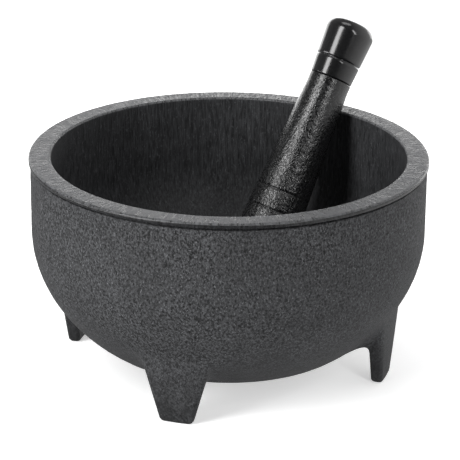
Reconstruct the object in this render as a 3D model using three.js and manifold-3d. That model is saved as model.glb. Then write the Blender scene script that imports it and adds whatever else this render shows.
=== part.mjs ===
// Molcajete: a four-footed double-walled bowl with a loose pestle leaning in it.
// Millimetres, +Z up. The origin is on the bowl's axis, on the surface that its feet stand on.
import * as THREE from "three";
import { mergeVertices } from "three/addons/utils/BufferGeometryUtils.js";
import Module from "manifold-3d";

const wasm = await Module();
wasm.setup();

// ---- Driving dimensions ---------------------------------------------------------------------

const GAP = 0.3; // between pieces that touch

// Whole bowl
const RIM_RADIUS = 100; // outermost edge of the lip
const RIM_HEIGHT = 111; // flat top of the rim, above the ground
const GROUND_CLEARANCE = 11; // under the belly

// Outer shell
const SHELL_RADIUS = 99.1; // straight part of the wall
const SHELL_WALL = 3.7;
const SHELL_FLOOR = 4;
const SHELL_SHOULDER = 73.2; // height where the straight wall starts to curve in
const SHELL_BELLY_DROP = 77.3; // semi-height of the elliptic belly
const SHELL_HEEL = 24.8; // radius between belly and underside
const SHELL_TOP_BEVEL = 1.2; // at the seam under the lip

// Inner bowl
const MOUTH_RADIUS = 88.8;
const MOUTH_ROUND = 1.2;
const LINER_WALL = 3.2;
const LINER_FLOOR_TOP = 20; // height of the bowl's inner floor
const LINER_SHOULDER = 74;
const LINER_BELLY_DROP = 69;
const LINER_HEEL = 26;
const LIP_THICKNESS = 2.4;
const LIP_ROUND = 1;
const RIB_THICKNESS = 2; // locating rib under the lip, just inside the shell
const RIB_DEPTH = 6;

// Feet: four wide blades, moulded with the shell
const FOOT_COUNT = 4;
const FIRST_FOOT_DEG = -17; // turned from the front, -Y, towards the right, +X
const FOOT_HALF_WIDTH = 8.4; // at the ground
const FOOT_FLARE = 0.29; // growth of the half width for each mm of height
const FOOT_OUTER_RADIUS = 84.5; // at the ground
const FOOT_LEAN = 0.085; // growth of the outer radius for each mm of height
const FOOT_THICKNESS = 6.1; // at the ground
const FOOT_TOP = 38; // height where the foot has run into the belly
const FOOT_BACK_TOP = 28; // height where the foot's back enters the shell's wall
const FOOT_CORNER = 2.5;

// Pestle, along its own axis from the centre of its grinding end
const PESTLE_LENGTH = 154.6;
const HEAD_RADIUS = 16.1;
const HEAD_DOME = 9; // depth of the rounded grinding end
const HEAD_LENGTH = 28;
const WAIST_RADIUS = 11.2;
const WAIST_AT = 117.9;
const SEAM_AT = 122.5; // where the cap meets the shaft
const SEAM_RADIUS = 11.3;
const SEAM_BEVEL = 0.5;
const CAP_RADIUS = 12.9;
const CAP_ROUND = 6.2;
const CAP_CROWN = 0.6; // bulge of the cap's end
const CAP_GROOVE_AT = 132.7;
const SHAFT_GROOVES_AT = [47, 57.9];
const GROOVE_HALF_WIDTH = 0.7;
const GROOVE_DEPTH = 0.5;
const SPIGOT_RADIUS = 6.5; // the cap's plug in the shaft's socket
const SPIGOT_LENGTH = 13.7;

// Resting pose of the pestle
const PESTLE_FOOT = new THREE.Vector3(6.6, 24.8, 23.9);
const PESTLE_LEAN_DEG = 31; // from upright
const PESTLE_TURN_DEG = 47; // heading of the lean, from the back, +Y, towards the right, +X

// Facets
const BOWL_FACETS = 64;
const PESTLE_FACETS = 24;
const BELLY_STEPS = 7;
const HEEL_STEPS = 4;
const FOOT_BACK_STEPS = 4;
const ROUND_STEPS = 3;

// ---- Materials ------------------------------------------------------------------------------

const paint = (color, roughness) => new THREE.MeshStandardMaterial({ color, roughness, metalness: 0 });
const stoneGrey = paint(0x4a4b4b, 0.8);
const linerGrey = paint(0x3a3a3b, 0.6);
const shaftBlack = paint(0x151516, 0.4);
const capBlack = paint(0x121213, 0.15);

// ---- Profiles: [radius, height] points ------------------------------------------------------

const degrees = THREE.MathUtils.degToRad;
const point = ([radius, height]) => new THREE.Vector2(radius, height);

// Points on an elliptic arc, from one angle to another, both ends included.
function arc(centreRadius, centreHeight, radiusAcross, radiusUp, from, to, steps) {
  const points = [];
  for (let i = 0; i <= steps; i += 1) {
    const angle = from + ((to - from) * i) / steps;
    points.push([centreRadius + radiusAcross * Math.cos(angle), centreHeight + radiusUp * Math.sin(angle)]);
  }
  return points;
}

// One face of the bowl, from the axis at its floor out and up to the shoulder: a flat floor,
// a round heel, and an elliptic belly that ends upright.
function bellyCurve({ radius, shoulder, drop, floor, heel }) {
  const normal = (t) => new THREE.Vector2(Math.cos(t) / radius, -Math.sin(t) / drop).normalize();
  const heelCentre = (t) => {
    const n = normal(t);
    return [radius * Math.cos(t) - heel * n.x, shoulder - drop * Math.sin(t) - heel * n.y];
  };
  let low = 0;
  let high = Math.PI / 2;
  for (let i = 0; i < 40; i += 1) {
    const middle = (low + high) / 2;
    if (heelCentre(middle)[1] > floor + heel) low = middle;
    else high = middle;
  }
  const join = normal(low);
  const belly = arc(0, shoulder, radius, drop, -low, 0, BELLY_STEPS);
  const [heelX, heelZ] = heelCentre(low);
  const round = arc(heelX, heelZ, heel, heel, -Math.PI / 2, Math.atan2(join.y, join.x), HEEL_STEPS);
  return [[0, floor], ...round, ...belly.slice(1)];
}

const shellOutside = bellyCurve({
  radius: SHELL_RADIUS,
  shoulder: SHELL_SHOULDER,
  drop: SHELL_BELLY_DROP,
  floor: GROUND_CLEARANCE,
  heel: SHELL_HEEL,
});

const shellInside = bellyCurve({
  radius: SHELL_RADIUS - SHELL_WALL,
  shoulder: SHELL_SHOULDER,
  drop: SHELL_BELLY_DROP - SHELL_WALL,
  floor: GROUND_CLEARANCE + SHELL_FLOOR,
  heel: SHELL_HEEL - SHELL_WALL,
});

const linerOutside = bellyCurve({
  radius: MOUTH_RADIUS + LINER_WALL,
  shoulder: LINER_SHOULDER,
  drop: LINER_BELLY_DROP + LINER_WALL,
  floor: GROUND_CLEARANCE + SHELL_FLOOR + GAP,
  heel: LINER_HEEL + LINER_WALL,
});

const linerInside = bellyCurve({
  radius: MOUTH_RADIUS,
  shoulder: LINER_SHOULDER,
  drop: LINER_BELLY_DROP,
  floor: LINER_FLOOR_TOP,
  heel: LINER_HEEL,
});

const quarter = Math.PI / 2;
const lipUnderside = RIM_HEIGHT - LIP_THICKNESS;
const shellTop = lipUnderside - GAP;

const shellProfile = [
  ...shellOutside,
  [SHELL_RADIUS, shellTop - SHELL_TOP_BEVEL],
  [SHELL_RADIUS - SHELL_TOP_BEVEL, shellTop],
  [SHELL_RADIUS - SHELL_WALL, shellTop],
  ...shellInside.reverse(),
];

const ribOutside = SHELL_RADIUS - SHELL_WALL - GAP;
const linerProfile = [
  ...linerOutside,
  [MOUTH_RADIUS + LINER_WALL, lipUnderside],
  [ribOutside - RIB_THICKNESS, lipUnderside],
  [ribOutside - RIB_THICKNESS, lipUnderside - RIB_DEPTH],
  [ribOutside, lipUnderside - RIB_DEPTH],
  [ribOutside, lipUnderside],
  [RIM_RADIUS, lipUnderside],
  ...arc(RIM_RADIUS - LIP_ROUND, RIM_HEIGHT - LIP_ROUND, LIP_ROUND, LIP_ROUND, 0, quarter, ROUND_STEPS),
  ...arc(
    MOUTH_RADIUS + MOUTH_ROUND,
    RIM_HEIGHT - MOUTH_ROUND,
    MOUTH_ROUND,
    MOUTH_ROUND,
    quarter,
    2 * quarter,
    ROUND_STEPS,
  ),
  ...linerInside.reverse(),
];

// A V-shaped groove around the pestle.
const groove = (at, radius) => [
  [radius, at - GROOVE_HALF_WIDTH],
  [radius - GROOVE_DEPTH, at],
  [radius, at + GROOVE_HALF_WIDTH],
];

const between = (at, fromAt, fromRadius, toAt, toRadius) =>
  THREE.MathUtils.mapLinear(at, fromAt, toAt, fromRadius, toRadius);

const shaftTop = SEAM_AT - GAP / 2;
const shaftProfile = [
  ...arc(0, HEAD_DOME, HEAD_RADIUS, HEAD_DOME, -quarter, 0, 2 * ROUND_STEPS),
  [HEAD_RADIUS, HEAD_LENGTH],
  ...SHAFT_GROOVES_AT.flatMap((at) =>
    groove(at, between(at, HEAD_LENGTH, HEAD_RADIUS, WAIST_AT, WAIST_RADIUS)),
  ),
  [WAIST_RADIUS, WAIST_AT],
  [SEAM_RADIUS, shaftTop - SEAM_BEVEL],
  [SEAM_RADIUS - SEAM_BEVEL, shaftTop],
  [SPIGOT_RADIUS + GAP, shaftTop],
  [SPIGOT_RADIUS + GAP, SEAM_AT - SPIGOT_LENGTH - GAP],
  [0, SEAM_AT - SPIGOT_LENGTH - GAP],
];

const capBottom = SEAM_AT + GAP / 2;
const capShoulder = PESTLE_LENGTH - CAP_CROWN - CAP_ROUND;
const capProfile = [
  [0, SEAM_AT - SPIGOT_LENGTH],
  [SPIGOT_RADIUS, SEAM_AT - SPIGOT_LENGTH],
  [SPIGOT_RADIUS, capBottom],
  [SEAM_RADIUS - SEAM_BEVEL, capBottom],
  [SEAM_RADIUS, capBottom + SEAM_BEVEL],
  ...groove(CAP_GROOVE_AT, between(CAP_GROOVE_AT, capBottom, SEAM_RADIUS, capShoulder, CAP_RADIUS)),
  ...arc(CAP_RADIUS - CAP_ROUND, capShoulder, CAP_ROUND, CAP_ROUND, 0, quarter, 2 * ROUND_STEPS),
  [0, PESTLE_LENGTH],
];

// ---- Solids ---------------------------------------------------------------------------------

// A profile turned around Z. It starts and ends on the axis, or closes on itself.
function turned(profile, facets) {
  return new THREE.LatheGeometry(profile.map(point), facets).rotateX(Math.PI / 2);
}

// A closed geometry as a manifold solid.
function solid(geometry) {
  const bare = geometry.clone();
  bare.deleteAttribute("normal");
  bare.deleteAttribute("uv");
  const merged = mergeVertices(bare, 1e-4);
  const index = merged.index.array;
  const triangles = [];
  for (let i = 0; i < index.length; i += 3) {
    const [a, b, c] = index.slice(i, i + 3);
    if (a !== b && b !== c && c !== a) triangles.push(a, b, c);
  }
  const vertProperties = new Float32Array(merged.attributes.position.array);
  return new wasm.Manifold(new wasm.Mesh({ numProp: 3, vertProperties, triVerts: new Uint32Array(triangles) }));
}

// A manifold solid back as a geometry.
function geometryOf(manifold) {
  const { vertProperties, triVerts, numProp } = manifold.getMesh();
  const geometry = new THREE.BufferGeometry();
  const positions = new THREE.InterleavedBuffer(vertProperties, numProp);
  geometry.setAttribute("position", new THREE.InterleavedBufferAttribute(positions, 3, 0));
  geometry.setIndex(new THREE.BufferAttribute(triVerts, 1));
  const facetted = geometry.toNonIndexed();
  facetted.computeVertexNormals();
  return facetted;
}

// Radius of the shell's outside at a height, along its belly.
function bellyRadiusAt(height) {
  return SHELL_RADIUS * Math.sqrt(1 - ((SHELL_SHOULDER - height) / SHELL_BELLY_DROP) ** 2);
}

// The ring that all feet are cut from: its back ends inside the shell's wall.
function footRing() {
  const inner = FOOT_OUTER_RADIUS - FOOT_THICKNESS;
  const wallMiddle = (height) => bellyRadiusAt(height) - SHELL_WALL / 2;
  const profile = [
    [inner, 0],
    [FOOT_OUTER_RADIUS, 0],
    [FOOT_OUTER_RADIUS + FOOT_LEAN * FOOT_TOP, FOOT_TOP],
  ];
  for (let i = 0; i <= FOOT_BACK_STEPS; i += 1) {
    const height = THREE.MathUtils.lerp(FOOT_TOP, FOOT_BACK_TOP, i / FOOT_BACK_STEPS);
    profile.push([wallMiddle(height), height]);
  }
  profile.push([inner, 0]);
  return solid(turned(profile, BOWL_FACETS));
}

// A foot's front outline, narrow at the ground, cut through the ring.
function footBlock(headingDeg) {
  const top = FOOT_TOP + 1;
  const topHalf = FOOT_HALF_WIDTH + FOOT_FLARE * top;
  const outline = new THREE.Shape();
  outline.moveTo(-topHalf, top);
  outline.lineTo(-FOOT_HALF_WIDTH - FOOT_FLARE * FOOT_CORNER, FOOT_CORNER);
  outline.quadraticCurveTo(-FOOT_HALF_WIDTH, 0, -FOOT_HALF_WIDTH + FOOT_CORNER, 0);
  outline.lineTo(FOOT_HALF_WIDTH - FOOT_CORNER, 0);
  outline.quadraticCurveTo(FOOT_HALF_WIDTH, 0, FOOT_HALF_WIDTH + FOOT_FLARE * FOOT_CORNER, FOOT_CORNER);
  outline.lineTo(topHalf, top);
  const depth = RIM_RADIUS - FOOT_OUTER_RADIUS + 2 * FOOT_THICKNESS;
  const block = new THREE.ExtrudeGeometry(outline, { depth, bevelEnabled: false, curveSegments: ROUND_STEPS });
  block.rotateX(Math.PI / 2); // outline upright, depth towards the front
  block.translate(0, -(RIM_RADIUS - depth), 0);
  block.rotateZ(degrees(headingDeg));
  return solid(block);
}

function outerShell() {
  const ring = footRing();
  let shell = solid(turned(shellProfile, BOWL_FACETS));
  for (let i = 0; i < FOOT_COUNT; i += 1) {
    const heading = FIRST_FOOT_DEG + (i * 360) / FOOT_COUNT;
    shell = shell.add(ring.intersect(footBlock(heading)));
  }
  return geometryOf(shell);
}

// ---- Scene ----------------------------------------------------------------------------------

function piece(name, geometry, material) {
  const mesh = new THREE.Mesh(geometry, material);
  mesh.name = name;
  return mesh;
}

const bowl = new THREE.Group();
bowl.add(piece("outer_shell", outerShell(), stoneGrey));
bowl.add(piece("inner_bowl", turned(linerProfile, BOWL_FACETS), linerGrey));

const lean = degrees(PESTLE_LEAN_DEG);
const turn = degrees(PESTLE_TURN_DEG);
const pestleAxis = new THREE.Vector3(
  Math.sin(lean) * Math.sin(turn),
  Math.sin(lean) * Math.cos(turn),
  Math.cos(lean),
);

const pestle = new THREE.Group();
pestle.position.copy(PESTLE_FOOT);
pestle.quaternion.setFromUnitVectors(new THREE.Vector3(0, 0, 1), pestleAxis);
pestle.add(piece("pestle_shaft", turned(shaftProfile, PESTLE_FACETS), shaftBlack));
pestle.add(piece("pestle_cap", turned(capProfile, PESTLE_FACETS), capBlack));

const molcajete = new THREE.Group();
molcajete.add(bowl, pestle);

export default molcajete;
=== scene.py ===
"""A molcajete: a stone-look moulded bowl on four blade feet, with a black pestle leaning in it.

Lengths of the object are in millimetres, in the CAD's frame, and become metres when a mesh is
made. The camera, the floor and the lights are in metres. The CAD gives the outer sizes of the
bowl; the other sizes repeat the ones it was built from. Noise scales are per millimetre, in each
piece's own frame, so that the grain travels with the piece.
"""
import math

import bmesh
import bpy
import numpy as np
from mathutils import Matrix, Vector, noise


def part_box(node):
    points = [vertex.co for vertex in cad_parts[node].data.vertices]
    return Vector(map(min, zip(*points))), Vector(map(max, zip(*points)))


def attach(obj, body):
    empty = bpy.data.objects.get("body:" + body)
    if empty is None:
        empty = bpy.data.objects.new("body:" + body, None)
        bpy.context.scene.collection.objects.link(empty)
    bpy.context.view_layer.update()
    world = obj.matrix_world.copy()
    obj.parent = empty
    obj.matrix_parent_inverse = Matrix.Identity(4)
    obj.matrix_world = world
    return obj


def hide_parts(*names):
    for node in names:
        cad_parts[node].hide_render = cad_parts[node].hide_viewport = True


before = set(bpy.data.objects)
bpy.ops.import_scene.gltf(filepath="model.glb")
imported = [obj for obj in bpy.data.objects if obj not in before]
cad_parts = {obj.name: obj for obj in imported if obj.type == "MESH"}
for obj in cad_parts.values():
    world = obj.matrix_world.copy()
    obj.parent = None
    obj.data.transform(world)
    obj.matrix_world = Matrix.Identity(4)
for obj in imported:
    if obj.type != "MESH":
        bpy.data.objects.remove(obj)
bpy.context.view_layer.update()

MM = 0.001

# ---- Sizes that come from the frame ---------------------------------------------------------


def box_mm(node):
    """The lowest and highest corners of a CAD node, in millimetres."""
    low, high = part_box(node)
    return low / MM, high / MM


shell_low, shell_high = box_mm("outer_shell")
liner_low, liner_high = box_mm("inner_bowl")

SHELL_RADIUS = shell_high.x
SHELL_TOP = shell_high.z
RIM_RADIUS = liner_high.x
RIM_HEIGHT = liner_high.z
LINER_UNDERSIDE = liner_low.z

# ---- Sizes of the bowl ----------------------------------------------------------------------

SHELL_FLOOR = 11.0
SHELL_WALL = 3.7
SHELL_FLOOR_THICKNESS = 4.0
SHELL_SHOULDER = 73.2
SHELL_DROP = 77.3
SHELL_HEEL = 24.8
SEAM_GROOVE_HEIGHT = 0.8
SEAM_GROOVE_DEPTH = 1.6
SEAM_EDGE_ROUND = 0.5
HEEL_SEARCH_STEPS = 40

MOUTH_RADIUS = 88.8
MOUTH_ROUND = 1.2
LINER_WALL = 3.2
LINER_FLOOR = 20.0
LINER_SHOULDER = 74.0
LINER_DROP = 69.0
LINER_HEEL = 26.0
LIP_THICKNESS = 2.4
LIP_ROUND = 1.3
LIP_UNDER_ROUND = 0.6
RIB_RADIUS = 95.1
RIB_THICKNESS = 2.0
RIB_DEPTH = 6.0

FOOT_COUNT = 4
FIRST_FOOT = math.radians(-17)
FOOT_HALF_WIDTH = 8.4
FOOT_FLARE = 0.29
FOOT_OUTER = 84.5
FOOT_LEAN = 0.085
FOOT_THICKNESS = 6.1
FOOT_ROUND = 1.8  # upright edges
FOOT_EDGE = 1.5  # edges of the foot's end
FOOT_FILLET_INNER = 9.0
FOOT_FILLET_OUTER = 3.0
FOOT_FILLET_PULL = 0.6  # how far the fillet's curve keeps to each face
FOOT_TOP_LIMIT = 60.0
FOOT_SEARCH_STEPS = 30

# ---- Sizes of the pestle, along its own axis ------------------------------------------------

PESTLE_FOOT = Vector((6.6, 24.8, 23.9))
PESTLE_LEAN = math.radians(31)
PESTLE_TURN = math.radians(47)
PESTLE_LENGTH = 154.6
HEAD_RADIUS = 16.1
HEAD_DOME = 9.0
HEAD_LENGTH = 28.0
WAIST_RADIUS = 11.2
WAIST_AT = 117.9
SEAM_AT = 122.5
SEAM_GAP = 0.3
SEAM_RADIUS = 11.3
SEAM_ROUND = 0.5
CAP_RADIUS = 12.9
CAP_ROUND = 6.2
CAP_CROWN = 0.6
CAP_INSET = 0.02  # keeps the finer mesh inside the CAD's box
CAP_GROOVE_AT = 132.7
SHAFT_GROOVES_AT = (47.0, 57.9)
GROOVE_HALF_WIDTH = 0.7
GROOVE_DEPTH = 0.5
SHAFT_GROOVE_DEPTH = 0.36
SPIGOT_RADIUS = 6.5
SPIGOT_LENGTH = 13.7
SPIGOT_END = SEAM_AT - SPIGOT_LENGTH

QUARTER = math.pi / 2
ON_AXIS = 1e-6  # a radius below this is on the axis

# ---- Camera ---------------------------------------------------------------------------------

CAMERA_AIM = Vector((0.0009, 0.0, 0.0697))
CAMERA_DISTANCE = 1.2261
CAMERA_PITCH = math.radians(21.16)
CAMERA_ROLL = math.radians(0.57)
CAMERA_LENS = 189.7
CAMERA_SENSOR = 36.0
CAMERA_NEAR = 0.05
CAMERA_FAR = 20.0


def make_camera():
    """Looks along +Y from in front of the bowl, a little from above."""
    data = bpy.data.cameras.new("camera")
    data.lens = CAMERA_LENS
    data.sensor_width = CAMERA_SENSOR
    data.clip_start = CAMERA_NEAR
    data.clip_end = CAMERA_FAR
    camera = bpy.data.objects.new("camera", data)
    bpy.context.scene.collection.objects.link(camera)
    away = Vector((0, -math.cos(CAMERA_PITCH), math.sin(CAMERA_PITCH)))
    turn = away.to_track_quat("Z", "Y").to_matrix().to_4x4()
    camera.matrix_world = (
        Matrix.Translation(CAMERA_AIM + CAMERA_DISTANCE * away)
        @ turn
        @ Matrix.Rotation(CAMERA_ROLL, 4, "Z")
    )
    bpy.context.scene.camera = camera


# ---- Profiles: lists of (radius, height) ----------------------------------------------------


def arc(centre_r, centre_z, across, up, start, end, steps):
    """Points on an elliptic arc, both ends included."""
    points = []
    for i in range(steps + 1):
        a = start + (end - start) * i / steps
        points.append((centre_r + across * math.cos(a), centre_z + up * math.sin(a)))
    return points


def round_arc(centre_r, centre_z, radius, start, end, steps):
    return arc(centre_r, centre_z, radius, radius, start, end, steps)


def refined(points, step):
    """The same outline with no stretch longer than step."""
    out = [points[0]]
    for (r0, z0), (r1, z1) in zip(points, points[1:]):
        parts = max(1, math.ceil(math.hypot(r1 - r0, z1 - z0) / step))
        for i in range(1, parts + 1):
            out.append((r0 + (r1 - r0) * i / parts, z0 + (z1 - z0) * i / parts))
    return out


class Belly:
    """A bowl's face: a flat floor, a round heel, and an elliptic belly that ends upright."""

    def __init__(self, radius, shoulder, drop, floor, heel):
        self.radius, self.shoulder, self.drop = radius, shoulder, drop
        self.floor, self.heel = floor, heel
        low, high = 0.0, QUARTER
        for _ in range(HEEL_SEARCH_STEPS):
            middle = (low + high) / 2
            if self._heel_centre(middle)[1] > floor + heel:
                low = middle
            else:
                high = middle
        self.join = low
        self.heel_r, self.heel_z = self._heel_centre(low)
        self.join_r = radius * math.cos(low)

    def _normal(self, t):
        """The outward normal of the belly's ellipse, t being 0 at the shoulder."""
        r, z = math.cos(t) / self.radius, -math.sin(t) / self.drop
        size = math.hypot(r, z)
        return r / size, z / size

    def _heel_centre(self, t):
        """The centre of a heel arc that runs into the ellipse at t."""
        r, z = self._normal(t)
        return (
            self.radius * math.cos(t) - self.heel * r,
            self.shoulder - self.drop * math.sin(t) - self.heel * z,
        )

    def points(self, step):
        """From the axis out and up to the shoulder."""
        r, z = self._normal(self.join)
        heel_end = math.atan2(z, r)
        heel_steps = max(2, round(self.heel * (heel_end + QUARTER) / step))
        belly_steps = max(2, round(self.join * (self.radius + self.drop) / 2 / step))
        floor = refined([(0.0, self.floor), (self.heel_r, self.floor)], 3 * step)
        heel = round_arc(self.heel_r, self.heel_z, self.heel, -QUARTER, heel_end, heel_steps)
        belly = arc(0, self.shoulder, self.radius, self.drop, -self.join, 0, belly_steps)
        return floor + heel[1:] + belly[1:]

    def height_at(self, r):
        """The height of the face at a radius."""
        if r <= self.heel_r:
            return self.floor
        if r <= self.join_r:
            return self.heel_z - math.sqrt(max(0.0, self.heel**2 - (r - self.heel_r) ** 2))
        return self.shoulder - self.drop * math.sqrt(max(0.0, 1 - (r / self.radius) ** 2))

    def normal_at(self, r):
        """The outward normal, as (radial, up), at a radius on the heel or belly."""
        if r <= self.heel_r:
            return 0.0, -1.0
        if r <= self.join_r:
            z = self.height_at(r)
            return (r - self.heel_r) / self.heel, (z - self.heel_z) / self.heel
        return self._normal(math.acos(min(1.0, r / self.radius)))


def around(r, z, heading):
    """The point at a radius and height, heading turned from the front, -Y, to the right, +X."""
    return Vector((r * math.sin(heading), -r * math.cos(heading), z))


# ---- Mesh helpers ---------------------------------------------------------------------------


class Builder:
    """Gathers vertices and faces of one piece."""

    def __init__(self):
        self.points = []
        self.faces = []
        self.slots = []

    def add(self, point):
        self.points.append(point)
        return len(self.points) - 1

    def face(self, corners, slot=0):
        self.faces.append(corners)
        self.slots.append(slot)

    def bridge(self, ring_a, ring_b, slot=0):
        """Quads between two closed rings of the same length."""
        n = len(ring_a)
        for i in range(n):
            j = (i + 1) % n
            self.face((ring_a[i], ring_a[j], ring_b[j], ring_b[i]), slot)

    def lathe(self, profile, columns, start=0.0, slot_of=lambda r, z: 0, skip=None):
        """Turns a profile around Z. Points on the axis become poles. Returns the rings."""
        step = 2 * math.pi / columns
        rings = []
        for r, z in profile:
            if r < ON_AXIS:
                rings.append([self.add(Vector((0, 0, z)))])
                continue
            rings.append([self.add(around(r, z, start + j * step)) for j in range(columns)])
        for i, (a, b) in enumerate(zip(rings, rings[1:])):
            slot = slot_of(*[(p + q) / 2 for p, q in zip(profile[i], profile[i + 1])])
            for j in range(columns):
                k = (j + 1) % columns
                if skip and skip(i, j):
                    continue
                if len(a) == 1:
                    self.face((a[0], b[k], b[j]), slot)
                elif len(b) == 1:
                    self.face((a[j], a[k], b[0]), slot)
                else:
                    self.face((a[j], a[k], b[k], b[j]), slot)
        return rings

    def make(self, name, materials, place=None):
        """The finished object. place moves its own frame into the CAD's frame."""
        mesh = bpy.data.meshes.new(name)
        own = [tuple(p) for p in self.points]
        mesh.from_pydata(own, [], self.faces)
        mesh.polygons.foreach_set("material_index", self.slots)
        local = mesh.attributes.new("own_mm", "FLOAT_VECTOR", "POINT")
        local.data.foreach_set("vector", np.array(own, np.float32).ravel())
        for material in materials:
            mesh.materials.append(material)
        mesh.transform(Matrix.Scale(MM, 4) @ (place or Matrix.Identity(4)))
        shape = bmesh.new()
        shape.from_mesh(mesh)
        bmesh.ops.recalc_face_normals(shape, faces=shape.faces)
        shape.to_mesh(mesh)
        shape.free()
        mesh.polygons.foreach_set("use_smooth", [True] * len(mesh.polygons))
        piece = bpy.data.objects.new(name, mesh)
        bpy.context.scene.collection.objects.link(piece)
        return piece


def roughen(builder, depth, size, wanted):
    """Moves points in and out from the axis by a little noise, as far as wanted(point) allows."""
    decay, spread, octaves = 1.0, 2.0, 3
    for i, p in enumerate(builder.points):
        amount = wanted(p)
        if amount <= 0:
            continue
        bump = noise.fractal(p / size, decay, spread, octaves)
        outward = Vector((p.x, p.y, 0))
        if outward.length > ON_AXIS:
            builder.points[i] = p + outward.normalized() * (depth * amount * bump)


# ---- Materials ------------------------------------------------------------------------------

RANGE_SOCKETS = ("From Min", "From Max", "To Min", "To Max")


class Nodes:
    """A short way to write a material's node tree."""

    def __init__(self, name):
        self.material = bpy.data.materials.new(name)
        self.material.use_nodes = True
        self.tree = self.material.node_tree
        self.shader = self.tree.nodes["Principled BSDF"]
        attribute = self.node("ShaderNodeAttribute", attribute_name="own_mm")
        self.place = attribute.outputs["Vector"]

    def node(self, kind, **settings):
        made = self.tree.nodes.new(kind)
        for key, value in settings.items():
            setattr(made, key, value)
        return made

    def put(self, socket, value):
        if isinstance(value, bpy.types.NodeSocket):
            self.tree.links.new(value, socket)
        else:
            socket.default_value = value

    def stretched(self, x, y, z):
        """The place, scaled: a share below 1 draws the texture out along that axis."""
        made = self.node("ShaderNodeVectorMath", operation="MULTIPLY")
        self.put(made.inputs[0], self.place)
        made.inputs[1].default_value = (x, y, z)
        return made.outputs[0]

    def noise(self, vector, scale, detail=3.0, roughness=0.55, distortion=0.0):
        made = self.node("ShaderNodeTexNoise")
        self.put(made.inputs["Vector"], vector)
        made.inputs["Scale"].default_value = scale
        made.inputs["Detail"].default_value = detail
        made.inputs["Roughness"].default_value = roughness
        made.inputs["Distortion"].default_value = distortion
        return made.outputs["Fac"]

    def cells(self, vector, scale):
        """The distance from the middle of the nearest cell."""
        made = self.node("ShaderNodeTexVoronoi", feature="F1")
        self.put(made.inputs["Vector"], vector)
        made.inputs["Scale"].default_value = scale
        return made.outputs["Distance"]

    def math(self, operation, a, b):
        made = self.node("ShaderNodeMath", operation=operation)
        self.put(made.inputs[0], a)
        self.put(made.inputs[1], b)
        return made.outputs[0]

    def between(self, value, low, high, to_low=0.0, to_high=1.0):
        """value, carried from low..high to to_low..to_high and held at the ends."""
        made = self.node("ShaderNodeMapRange")
        self.put(made.inputs["Value"], value)
        for key, number in zip(RANGE_SOCKETS, (low, high, to_low, to_high)):
            made.inputs[key].default_value = number
        return made.outputs["Result"]

    def mix(self, share, a, b):
        made = self.node("ShaderNodeMix", data_type="RGBA")
        self.put(made.inputs["Factor"], share)
        self.put(made.inputs["A"], a)
        self.put(made.inputs["B"], b)
        return made.outputs["Result"]

    def parts(self, vector):
        made = self.node("ShaderNodeSeparateXYZ")
        self.put(made.inputs[0], vector)
        return made.outputs

    def bump(self, height, distance_mm, strength=1.0, under=None):
        made = self.node("ShaderNodeBump")
        self.put(made.inputs["Height"], height)
        self.put(made.inputs["Strength"], strength)
        made.inputs["Distance"].default_value = distance_mm * MM
        if under is not None:
            self.put(made.inputs["Normal"], under)
        return made.outputs["Normal"]

    def finish(self, colour, roughness, normal, specular):
        self.put(self.shader.inputs["Base Color"], colour)
        self.put(self.shader.inputs["Roughness"], roughness)
        self.put(self.shader.inputs["Normal"], normal)
        self.shader.inputs["Specular IOR Level"].default_value = specular
        return self.material


COOL = 0.06  # how far the greys lean towards blue


def grey(value):
    return (value * (1 - COOL / 3), value, value * (1 + COOL), 1.0)


BLACK = grey(0.004)


def shell_material():
    """Charcoal moulding with a fine stone-like grain, drawn upright towards the rim.

    The grain fades towards the feet, whose ends are darker, more so in patches.
    """
    n = Nodes("shell_grain")
    grain = n.noise(n.stretched(1, 1, 0.85), 0.9, detail=5, roughness=0.72)
    streak = n.noise(n.stretched(1, 1, 0.65), 1.05, detail=4, roughness=0.75)
    height = n.parts(n.place)[2]
    mottle = n.mix(n.between(height, 55, 100), grain, streak)
    pits = n.cells(n.stretched(1, 1, 0.8), 0.6)
    # Painted highlight: pale specks, fewer towards the feet, stand in for the grain's glints of
    # light.
    painted_glint = n.noise(n.stretched(1, 1, 0.7), 1.3, detail=2, roughness=0.6)
    cloud = n.noise(n.place, 0.03, detail=3)
    deep = n.between(height, 10, 70, 0.6, 1.0)
    colour = n.mix(n.between(mottle, 0.41, 0.6), BLACK, grey(0.069))
    pitted = n.math("MULTIPLY", n.between(pits, 0.16, 0.38, 0.8, 0.0), deep)
    colour = n.mix(pitted, colour, BLACK)
    bright = n.math("MULTIPLY", n.between(painted_glint, 0.6, 0.7, 0.0, 0.8), deep)
    colour = n.mix(bright, colour, grey(0.14))
    plain = n.math("SUBTRACT", 0.95, n.math("MULTIPLY", deep, 0.9))
    colour = n.mix(plain, colour, grey(0.033))
    colour = n.mix(n.between(cloud, 0.35, 0.65, 0.0, 0.3), colour, grey(0.02))
    # Darker towards the feet's ends, over the lowest 28 mm, and more so in patches.
    end_patch_noise = n.noise(n.place, 0.16, detail=3, roughness=0.6)
    patches, low = n.between(end_patch_noise, 0.42, 0.58, 0.4, 1.0), n.between(height, 8, 28, 0.6, 0.0)
    colour = n.mix(n.math("MULTIPLY", patches, low), colour, grey(0.008))
    rough = n.between(grain, 0.35, 0.65, 0.6, 0.85)
    fine = n.bump(mottle, 0.4, n.math("MULTIPLY", deep, 0.9))
    normal = n.bump(n.between(pits, 0.0, 0.4), 0.3, n.math("MULTIPLY", deep, 0.6), under=fine)
    return n.finish(colour, rough, normal, specular=0.25)


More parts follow.
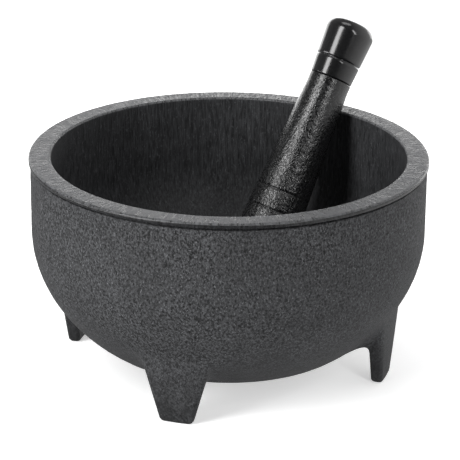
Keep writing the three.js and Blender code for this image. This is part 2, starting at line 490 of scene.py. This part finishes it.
def radial_lines(n):
    """Coordinates that stretch a texture across the rim, for scratches that run outward."""
    across = 0.22
    flat = n.stretched(1, 1, 0)
    radius = n.node("ShaderNodeVectorMath", operation="LENGTH")
    n.put(radius.inputs[0], flat)
    heading = n.node("ShaderNodeVectorMath", operation="NORMALIZE")
    n.put(heading.inputs[0], flat)
    along = n.parts(heading.outputs[0])
    lines = n.node("ShaderNodeCombineXYZ")
    n.put(lines.inputs[0], n.math("MULTIPLY", along[0], RIM_RADIUS))
    n.put(lines.inputs[1], n.math("MULTIPLY", along[1], RIM_RADIUS))
    n.put(lines.inputs[2], n.math("MULTIPLY", radius.outputs["Value"], across))
    return lines.outputs[0]


def rim_material():
    """The flat rim: scuffed across by many fine radial lines, and paler, partly from the scuffing
    and partly as painted light on its upward face.
    """
    n = Nodes("rim_scuffed")
    scratch = n.noise(radial_lines(n), 0.75, detail=5, roughness=0.75)
    grit = n.noise(n.place, 0.9, detail=4, roughness=0.7)
    cloud = n.noise(n.place, 0.08, detail=3)
    # Partly painted light: the upward rim is given a paler grey than the bowl's inside and outside,
    # besides its real scuffing.
    colour = n.mix(n.between(scratch, 0.4, 0.6), grey(0.01), grey(0.1))
    colour = n.mix(n.between(grit, 0.5, 0.66, 0.0, 0.6), colour, grey(0.02))
    colour = n.mix(n.between(cloud, 0.35, 0.65, 0.0, 0.3), colour, grey(0.06))
    rough = n.between(scratch, 0.42, 0.58, 0.26, 0.62)
    normal = n.bump(scratch, 0.35, 0.9)
    return n.finish(colour, rough, normal, specular=0.5)


def lip_material():
    """The rounded outer edge of the rim: dark, a little glossy, with short upright nicks."""
    n = Nodes("lip_dark")
    nicks = n.noise(n.stretched(1, 1, 0.3), 0.7, detail=4, roughness=0.7)
    colour = n.mix(n.between(nicks, 0.38, 0.6), BLACK, grey(0.024))
    rough = n.between(nicks, 0.3, 0.7, 0.3, 0.2)
    return n.finish(colour, rough, n.bump(nicks, 0.25, 0.7), specular=0.35)


def inside_material():
    """The bowl's inside: darker, partly its own tone and partly painted shade of the hollow, with
    fine upright drawing marks and small pale specks.
    """
    n = Nodes("bowl_inside")
    streak = n.noise(n.stretched(1, 1, 0.1), 1.3, detail=4, roughness=0.7)
    speck = n.noise(n.stretched(1, 1, 0.5), 0.9, detail=3, roughness=0.7)
    cloud = n.noise(n.stretched(1, 1, 0.3), 0.06, detail=3)
    # Partly painted shade: the inside is given a darker grey than the rim and shell for the shade
    # in the hollow, on top of its own darker tone.
    colour = n.mix(n.between(streak, 0.37, 0.65), grey(0.01), grey(0.047))
    colour = n.mix(n.between(speck, 0.56, 0.72, 0.0, 0.55), colour, grey(0.11))
    colour = n.mix(n.between(cloud, 0.35, 0.65, 0.0, 0.3), colour, grey(0.025))
    rough = n.between(streak, 0.3, 0.7, 0.46, 0.64)
    normal = n.bump(streak, 0.25, 0.7)
    return n.finish(colour, rough, normal, specular=0.25)


def shaft_material():
    """Glossy black, pitted and sparkling more and more towards the grinding end."""
    n = Nodes("pestle_pitted")
    along = n.parts(n.place)[2]
    worn = n.between(along, 40, SEAM_AT, 1.0, 0.4)
    dents = n.noise(n.stretched(1, 1, 0.7), 0.7, detail=2, roughness=0.55, distortion=0.4)
    pits = n.noise(n.stretched(1, 1, 0.85), 1.15, detail=2, roughness=0.6)
    dull = n.math("MULTIPLY", n.between(pits, 0.46, 0.54), worn)
    colour = n.mix(dull, BLACK, grey(0.01))
    rough = n.between(dull, 0.0, 1.0, 0.1, 0.55)
    coarse = n.bump(dents, 0.42, worn)
    normal = n.bump(pits, 0.3, worn, under=coarse)
    return n.finish(colour, rough, normal, specular=0.62)


def cap_material():
    """Smooth glossy black with a faint moulded ripple."""
    n = Nodes("cap_gloss")
    ripple = n.noise(n.stretched(1, 1, 0.3), 0.12, detail=2)
    dust = n.noise(n.place, 2.0, detail=3)
    colour = n.mix(n.between(dust, 0.4, 0.7), BLACK, grey(0.008))
    rough = n.between(dust, 0.3, 0.7, 0.13, 0.22)
    normal = n.bump(ripple, 0.35, 0.3)
    return n.finish(colour, rough, normal, specular=0.62)


# ---- Outer shell ----------------------------------------------------------------------------

SHELL_COLUMNS = 320
SHELL_STEP = 1.25
HIDDEN_COARSER = 6  # faces that never show are this many times longer
SHELL_ROUGH_DEPTH = 0.12
SHELL_ROUGH_SIZE = 5.0
SHELL_SMOOTH_TOP = 2.0  # left smooth below the seam
FOOT_HALF_COLUMNS = 16
FOOT_HOLE_INNER = 68.0  # radius where the feet's fillets start, under the belly
FOOT_HOLE_TOP = 41.5  # height where they end, up the belly
FOOT_FILLET_STEPS = 10
FOOT_WALL_STEPS = 14
FOOT_EDGE_STEPS = 5


def foot_wall(u, v, z):
    """A point on a foot's wall: u across, v outward, both from -1 to 1, at a height."""
    half = FOOT_HALF_WIDTH + FOOT_FLARE * z
    outer = FOOT_OUTER + FOOT_LEAN * z
    inner = FOOT_OUTER - FOOT_THICKNESS
    r = (inner + outer) / 2 + v * (outer - inner) / 2
    return r, u * half / FOOT_OUTER


def rounded(u, v):
    """Brings a point of the foot's square section inside one with round corners."""
    half, deep = FOOT_HALF_WIDTH, FOOT_THICKNESS / 2
    point = Vector((u * half, v * deep))
    core = Vector((half - FOOT_ROUND, deep - FOOT_ROUND))
    core = Vector((max(-core.x, min(core.x, point.x)), max(-core.y, min(core.y, point.y))))
    past = point - core
    if past.length > FOOT_ROUND:
        point = core + past * (FOOT_ROUND / past.length)
    return point.x / half, point.y / deep


def foot_top(belly, u, v):
    """The height where the foot's wall runs into the belly."""
    low, high = 0.0, FOOT_TOP_LIMIT
    for _ in range(FOOT_SEARCH_STEPS):
        middle = (low + high) / 2
        r, _angle = foot_wall(u, v, middle)
        if middle < belly.height_at(r):
            low = middle
        else:
            high = middle
    return low


def foot(build, belly, heading, rim):
    """Grows a foot from a hole in the belly. rim lists (vertex, u, v) around the hole.

    Each line runs from the hole through the fillet, down the wall and round the edge of the end.
    Returns the ring that is left open at the end.
    """
    rings = []
    for vertex, u0, v0 in rim:
        u, v = rounded(u0, v0)
        top = foot_top(belly, u, v)

        def wall(z):
            r, angle = foot_wall(u, v, z)
            return around(r, z, heading + angle)

        start = build.points[vertex]
        corner = wall(top)
        fillet = FOOT_FILLET_INNER + (FOOT_FILLET_OUTER - FOOT_FILLET_INNER) * (1 + v) / 2
        end = wall(top - fillet)
        r = math.hypot(start.x, start.y)
        out, up = belly.normal_at(r)
        normal = Vector((start.x / r * out, start.y / r * out, up))
        towards = corner - start
        along = (towards - normal * towards.dot(normal)).normalized()
        lead = along * (FOOT_FILLET_PULL * towards.length)
        follow = (corner - end) * FOOT_FILLET_PULL
        line = []
        for i in range(1, FOOT_FILLET_STEPS + 1):
            t = i / FOOT_FILLET_STEPS
            a, b, c, d = (1 - t) ** 3, 3 * t * (1 - t) ** 2, 3 * t * t * (1 - t), t**3
            line.append(a * start + b * (start + lead) + c * (end + follow) + d * end)
        last = top - fillet
        for i in range(1, FOOT_WALL_STEPS + 1):
            line.append(wall(last + (FOOT_EDGE - last) * i / FOOT_WALL_STEPS))
        for i in range(1, FOOT_EDGE_STEPS + 1):
            a = QUARTER * i / FOOT_EDGE_STEPS
            inset = FOOT_EDGE * (1 - math.cos(a))
            narrow, thin = 1 - inset / FOOT_HALF_WIDTH, 1 - 2 * inset / FOOT_THICKNESS
            r, angle = foot_wall(u * narrow, v * thin, 0)
            line.append(around(r, FOOT_EDGE * (1 - math.sin(a)), heading + angle))
        rings.append([build.add(p) for p in line])
    previous = [vertex for vertex, _u, _v in rim]
    for k in range(len(rings[0])):
        ring = [line[k] for line in rings]
        build.bridge(previous, ring)
        previous = ring
    return previous


def foot_sole(build, heading, last, across, deep):
    """Closes a foot's flat end with a grid. last is its edge ring, across by deep faces."""
    round_edge = [(i, 0) for i in range(across)] + [(across, j) for j in range(deep)]
    round_edge += [(i, deep) for i in range(across, 0, -1)]
    round_edge += [(0, j) for j in range(deep, 0, -1)]
    grid = dict(zip(round_edge, last))
    shrink_u = 1 - FOOT_EDGE / FOOT_HALF_WIDTH
    shrink_v = 1 - 2 * FOOT_EDGE / FOOT_THICKNESS

    def vertex(i, j):
        if (i, j) not in grid:
            u, v = rounded(2 * i / across - 1, 2 * j / deep - 1)
            r, angle = foot_wall(u * shrink_u, v * shrink_v, 0)
            grid[(i, j)] = build.add(around(r, 0, heading + angle))
        return grid[(i, j)]

    for i in range(across):
        for j in range(deep):
            corners = ((i, j), (i + 1, j), (i + 1, j + 1), (i, j + 1))
            build.face(tuple(vertex(*corner) for corner in corners))


def make_shell(materials):
    """The outer bowl with its feet: one closed skin, with a groove round its top for the seam."""
    belly = Belly(SHELL_RADIUS, SHELL_SHOULDER, SHELL_DROP, SHELL_FLOOR, SHELL_HEEL)
    inner = Belly(
        SHELL_RADIUS - SHELL_WALL,
        SHELL_SHOULDER,
        SHELL_DROP - SHELL_WALL,
        SHELL_FLOOR + SHELL_FLOOR_THICKNESS,
        SHELL_HEEL - SHELL_WALL,
    )
    outside = belly.points(SHELL_STEP)
    wall_top = SHELL_TOP - SEAM_GROOVE_HEIGHT - SEAM_EDGE_ROUND
    wall = refined([(SHELL_RADIUS, SHELL_SHOULDER), (SHELL_RADIUS, wall_top)], SHELL_STEP)
    edge = SHELL_TOP - SEAM_GROOVE_HEIGHT
    bevel = round_arc(
        SHELL_RADIUS - SEAM_EDGE_ROUND, edge - SEAM_EDGE_ROUND, SEAM_EDGE_ROUND, 0, QUARTER, 4
    )
    groove_radius = SHELL_RADIUS - SEAM_GROOVE_DEPTH
    bevel += [(groove_radius, edge), (groove_radius, SHELL_TOP)]
    inside = [(SHELL_RADIUS - SHELL_WALL, SHELL_TOP)]
    inside += inner.points(HIDDEN_COARSER * SHELL_STEP)[::-1]
    profile = outside + wall[1:] + bevel[1:] + inside

    first = min(i for i, (r, _z) in enumerate(outside) if r > FOOT_HOLE_INNER)
    last = min(i for i, (_r, z) in enumerate(outside) if z > FOOT_HOLE_TOP)
    share = SHELL_COLUMNS // FOOT_COUNT

    def in_foot(row, column):
        if not first <= row < last:
            return False
        offset = (column + FOOT_HALF_COLUMNS) % share
        return offset < 2 * FOOT_HALF_COLUMNS

    build = Builder()
    rings = build.lathe(profile, SHELL_COLUMNS, FIRST_FOOT, skip=in_foot)
    smooth_from = SHELL_TOP - SHELL_SMOOTH_TOP
    roughen(build, SHELL_ROUGH_DEPTH, SHELL_ROUGH_SIZE, lambda p: 1.0 if p.z < smooth_from else 0.0)
    across, deep = 2 * FOOT_HALF_COLUMNS, last - first
    for k in range(FOOT_COUNT):
        heading = FIRST_FOOT + k * 2 * math.pi / FOOT_COUNT
        middle = k * share

        def at(row, i):
            return rings[row][(middle - FOOT_HALF_COLUMNS + i) % SHELL_COLUMNS]

        rim = [(at(first, i), 2 * i / across - 1, -1) for i in range(across)]
        rim += [(at(first + j, across), 1, 2 * j / deep - 1) for j in range(deep)]
        rim += [(at(last, i), 2 * i / across - 1, 1) for i in range(across, 0, -1)]
        rim += [(at(first + j, 0), -1, 2 * j / deep - 1) for j in range(deep, 0, -1)]
        sole_edge = foot(build, belly, heading, rim)
        foot_sole(build, heading, sole_edge, across, deep)
    return build.make("shell_with_feet", materials)


# ---- Inner bowl -----------------------------------------------------------------------------

LINER_COLUMNS = 320
LINER_STEP = 1.6
RIM_STEP = 0.9
PALE_EDGE = 0.5 * LIP_ROUND  # the rim's pale surface ends this far below its top


def make_liner(materials):
    """The inner bowl, its flat rim, the lip over the seam and the hidden locating rib."""
    outer = Belly(
        MOUTH_RADIUS + LINER_WALL,
        LINER_SHOULDER,
        LINER_DROP + LINER_WALL,
        LINER_UNDERSIDE,
        LINER_HEEL + LINER_WALL,
    )
    inner = Belly(MOUTH_RADIUS, LINER_SHOULDER, LINER_DROP, LINER_FLOOR, LINER_HEEL)
    under = RIM_HEIGHT - LIP_THICKNESS
    hidden = outer.points(HIDDEN_COARSER * LINER_STEP) + [
        (MOUTH_RADIUS + LINER_WALL, under),
        (RIB_RADIUS - RIB_THICKNESS, under),
        (RIB_RADIUS - RIB_THICKNESS, under - RIB_DEPTH),
        (RIB_RADIUS, under - RIB_DEPTH),
        (RIB_RADIUS, under),
    ]
    lip = round_arc(
        RIM_RADIUS - LIP_UNDER_ROUND, under + LIP_UNDER_ROUND, LIP_UNDER_ROUND, -QUARTER, 0, 4
    )
    lip += round_arc(RIM_RADIUS - LIP_ROUND, RIM_HEIGHT - LIP_ROUND, LIP_ROUND, 0, QUARTER, 8)
    mouth = round_arc(
        MOUTH_RADIUS + MOUTH_ROUND, RIM_HEIGHT - MOUTH_ROUND, MOUTH_ROUND, QUARTER, 2 * QUARTER, 8
    )
    top = refined([lip[-1], mouth[0]], RIM_STEP)
    wall = refined([mouth[-1], (MOUTH_RADIUS, LINER_SHOULDER)], LINER_STEP)
    floor = inner.points(LINER_STEP)[::-1]
    profile = hidden + lip + top[1:] + mouth[1:] + wall[1:] + floor[1:]
    edge = RIM_HEIGHT - PALE_EDGE
    rim_slot, inside_slot, lip_slot = range(3)

    def slot_of(r, z):
        if z > edge:
            return rim_slot
        return lip_slot if r > RIM_RADIUS - LIP_ROUND else inside_slot

    build = Builder()
    build.lathe(profile, LINER_COLUMNS, slot_of=slot_of)
    return build.make("inner_bowl_lined", materials)


# ---- Pestle ---------------------------------------------------------------------------------

PESTLE_COLUMNS = 160
PESTLE_STEP = 1.0
HEAD_STEP = 1.2
HEAD_STEPS = 16
SHAFT_ROUGH_DEPTH = 0.25
SHAFT_ROUGH_SIZE = 3.5
SHAFT_SMOOTH_TOP = 6.0  # left smooth below the cap
SHAFT_ROUGH_GROWS = 80.0  # the roughness grows over this length, down from the seam


def pestle_place():
    """From the pestle's own frame, its length along Z, to where it leans in the bowl."""
    axis = Vector(
        (
            math.sin(PESTLE_LEAN) * math.sin(PESTLE_TURN),
            math.sin(PESTLE_LEAN) * math.cos(PESTLE_TURN),
            math.cos(PESTLE_LEAN),
        )
    )
    turn = Vector((0, 0, 1)).rotation_difference(axis)
    return Matrix.Translation(PESTLE_FOOT) @ turn.to_matrix().to_4x4()


def groove(at, r, deepest):
    """A V groove with eased edges."""
    side, ease = 4, 0.8
    points = []
    for i in range(-side, side + 1):
        share = i / side
        depth = deepest * (1 - abs(share)) ** ease
        points.append((r - depth, at + share * GROOVE_HALF_WIDTH))
    return points


def taper(at, from_at, from_r, to_at, to_r):
    """The radius at a place on a straight taper."""
    return from_r + (to_r - from_r) * (at - from_at) / (to_at - from_at)


def make_shaft(materials):
    """The pitted shaft, from its domed grinding end to the socket for the cap."""
    top = SEAM_AT - SEAM_GAP / 2
    socket = SPIGOT_RADIUS + SEAM_GAP
    dome = arc(0, HEAD_DOME, HEAD_RADIUS, HEAD_DOME, -QUARTER, 0, HEAD_STEPS)
    profile = refined(dome, HEAD_STEP)
    profile = [(0.0, 0.0)] + profile[1:]
    body = [(HEAD_RADIUS, HEAD_DOME), (HEAD_RADIUS, HEAD_LENGTH)]
    for at in SHAFT_GROOVES_AT:
        radius = taper(at, HEAD_LENGTH, HEAD_RADIUS, WAIST_AT, WAIST_RADIUS)
        body += groove(at, radius, SHAFT_GROOVE_DEPTH)
    body.append((WAIST_RADIUS, WAIST_AT))
    profile += refined(body, PESTLE_STEP)[1:]
    profile += round_arc(SEAM_RADIUS - SEAM_ROUND, top - SEAM_ROUND, SEAM_ROUND, 0, QUARTER, 5)
    profile += [(socket, top), (socket, SPIGOT_END - SEAM_GAP), (0.0, SPIGOT_END - SEAM_GAP)]

    def worn(p):
        if p.z > SEAM_AT - SHAFT_SMOOTH_TOP:
            return 0.0
        return min(1.0, (SEAM_AT - p.z) / SHAFT_ROUGH_GROWS)

    build = Builder()
    build.lathe(profile, PESTLE_COLUMNS)
    roughen(build, SHAFT_ROUGH_DEPTH, SHAFT_ROUGH_SIZE, worn)
    return build.make("pestle_shaft_pitted", materials, pestle_place())


def make_cap(materials):
    """The glossy cap, with its groove and the plug that stands in the shaft's socket."""
    bottom = SEAM_AT + SEAM_GAP / 2
    tip = PESTLE_LENGTH - CAP_INSET
    shoulder = tip - CAP_CROWN - CAP_ROUND
    profile = [(0.0, SPIGOT_END), (SPIGOT_RADIUS, SPIGOT_END), (SPIGOT_RADIUS, bottom)]
    profile += round_arc(SEAM_RADIUS - SEAM_ROUND, bottom + SEAM_ROUND, SEAM_ROUND, -QUARTER, 0, 5)
    side = [profile[-1]]
    radius = taper(CAP_GROOVE_AT, bottom, SEAM_RADIUS, shoulder, CAP_RADIUS)
    side += groove(CAP_GROOVE_AT, radius, GROOVE_DEPTH)
    side.append((CAP_RADIUS, shoulder))
    profile += refined(side, PESTLE_STEP)[1:]
    flat = CAP_RADIUS - CAP_ROUND
    profile += round_arc(flat, shoulder, CAP_ROUND, 0, QUARTER, 14)[1:]
    crown_steps = 6
    for i in range(1, crown_steps + 1):
        r = flat * (1 - i / crown_steps)
        profile.append((r, tip - CAP_CROWN * (r / flat) ** 2))
    build = Builder()
    build.lathe(profile, PESTLE_COLUMNS)
    return build.make("pestle_cap_glossy", materials, pestle_place())


# ---- Floor and lights -----------------------------------------------------------------------

FLOOR_HALF = 6.0
FLOOR_TONE = 0.93
FLOOR_GLOW = 0.45  # lifts the floor to the photo's plain white

OBJECT_MIDDLE = (0, 0, 0.08)
# name, place, target, width, height, watts
SOFTBOXES = (
    ("left_strip", (-0.95, -0.75, 0.8), OBJECT_MIDDLE, 0.5, 1.4, 23.0),
    ("left_low", (-1.3, -0.15, 0.12), OBJECT_MIDDLE, 0.7, 0.2, 5.0),
    ("right_strip", (0.62, -1.05, 0.85), OBJECT_MIDDLE, 0.13, 0.7, 4.2),
    ("overhead", (0.03, 0.2, 1.3), OBJECT_MIDDLE, 0.6, 0.45, 2.6),
    ("back_card", (0.15, 0.5, 0.14), (0.15, 0.0, 0.14), 1.1, 0.28, 2.4),
)


def make_floor():
    """A plain pale floor. It stays out of reflections, where it would whiten the glossy cap."""
    n = Nodes("pale_floor")
    n.shader.inputs["Base Color"].default_value = (FLOOR_TONE, FLOOR_TONE, FLOOR_TONE, 1)
    n.shader.inputs["Roughness"].default_value = 0.9
    n.shader.inputs["Specular IOR Level"].default_value = 0.0
    n.shader.inputs["Emission Color"].default_value = (1, 1, 1, 1)
    n.shader.inputs["Emission Strength"].default_value = FLOOR_GLOW
    mesh = bpy.data.meshes.new("floor")
    corners = [(x * FLOOR_HALF, y * FLOOR_HALF, 0) for x, y in ((-1, -1), (1, -1), (1, 1), (-1, 1))]
    mesh.from_pydata(corners, [], [(0, 1, 2, 3)])
    mesh.materials.append(n.material)
    floor = bpy.data.objects.new("floor", mesh)
    bpy.context.scene.collection.objects.link(floor)
    floor.visible_glossy = False


def softbox(name, place, target, width, height, power):
    """A rectangular light at place, turned towards target and hidden from the camera."""
    data = bpy.data.lights.new(name, "AREA")
    data.shape = "RECTANGLE"
    data.size = width
    data.size_y = height
    data.energy = power
    light = bpy.data.objects.new(name, data)
    light.location = place
    light.visible_camera = False
    light.rotation_euler = (Vector(place) - Vector(target)).to_track_quat("Z", "Y").to_euler()
    bpy.context.scene.collection.objects.link(light)


def make_lights():
    """The softboxes, and a world that brightens to the back and the right, as a soft gradient."""
    for box in SOFTBOXES:
        softbox(*box)
    world = bpy.data.worlds.new("studio")
    world.use_nodes = True
    tree = world.node_tree
    direction = tree.nodes.new("ShaderNodeTexCoord")
    parts = tree.nodes.new("ShaderNodeSeparateXYZ")
    tree.links.new(direction.outputs["Generated"], parts.inputs[0])

    def fade(axis, low, high, to_low, to_high):
        made = tree.nodes.new("ShaderNodeMapRange")
        for key, number in zip(RANGE_SOCKETS, (low, high, to_low, to_high)):
            made.inputs[key].default_value = number
        tree.links.new(parts.outputs[axis], made.inputs["Value"])
        return made.outputs["Result"]

    def join(operation, a, b):
        made = tree.nodes.new("ShaderNodeMath")
        made.operation = operation
        tree.links.new(a, made.inputs[0])
        tree.links.new(b, made.inputs[1])
        return made.outputs[0]

    depth = join("MULTIPLY", fade("Y", -1, 1, 0.1, 0.6), fade("Z", -0.7, -0.05, 1.2, 0.6))
    background = tree.nodes["Background"]
    background.inputs["Color"].default_value = (1, 1, 1, 1)
    tree.links.new(join("ADD", depth, fade("X", 0.25, 1, 0.0, 1.0)), background.inputs["Strength"])
    bpy.context.scene.world = world
    bpy.context.scene.view_settings.view_transform = "Standard"


# ---- Scene ----------------------------------------------------------------------------------

make_camera()
make_lights()
make_floor()

shell = make_shell([shell_material()])
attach(shell, "bowl")
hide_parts("outer_shell")

liner = make_liner([rim_material(), inside_material(), lip_material()])
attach(liner, "bowl")
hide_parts("inner_bowl")

shaft = make_shaft([shaft_material()])
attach(shaft, "pestle")
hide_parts("pestle_shaft")

cap = make_cap([cap_material()])
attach(cap, "pestle")
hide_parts("pestle_cap")
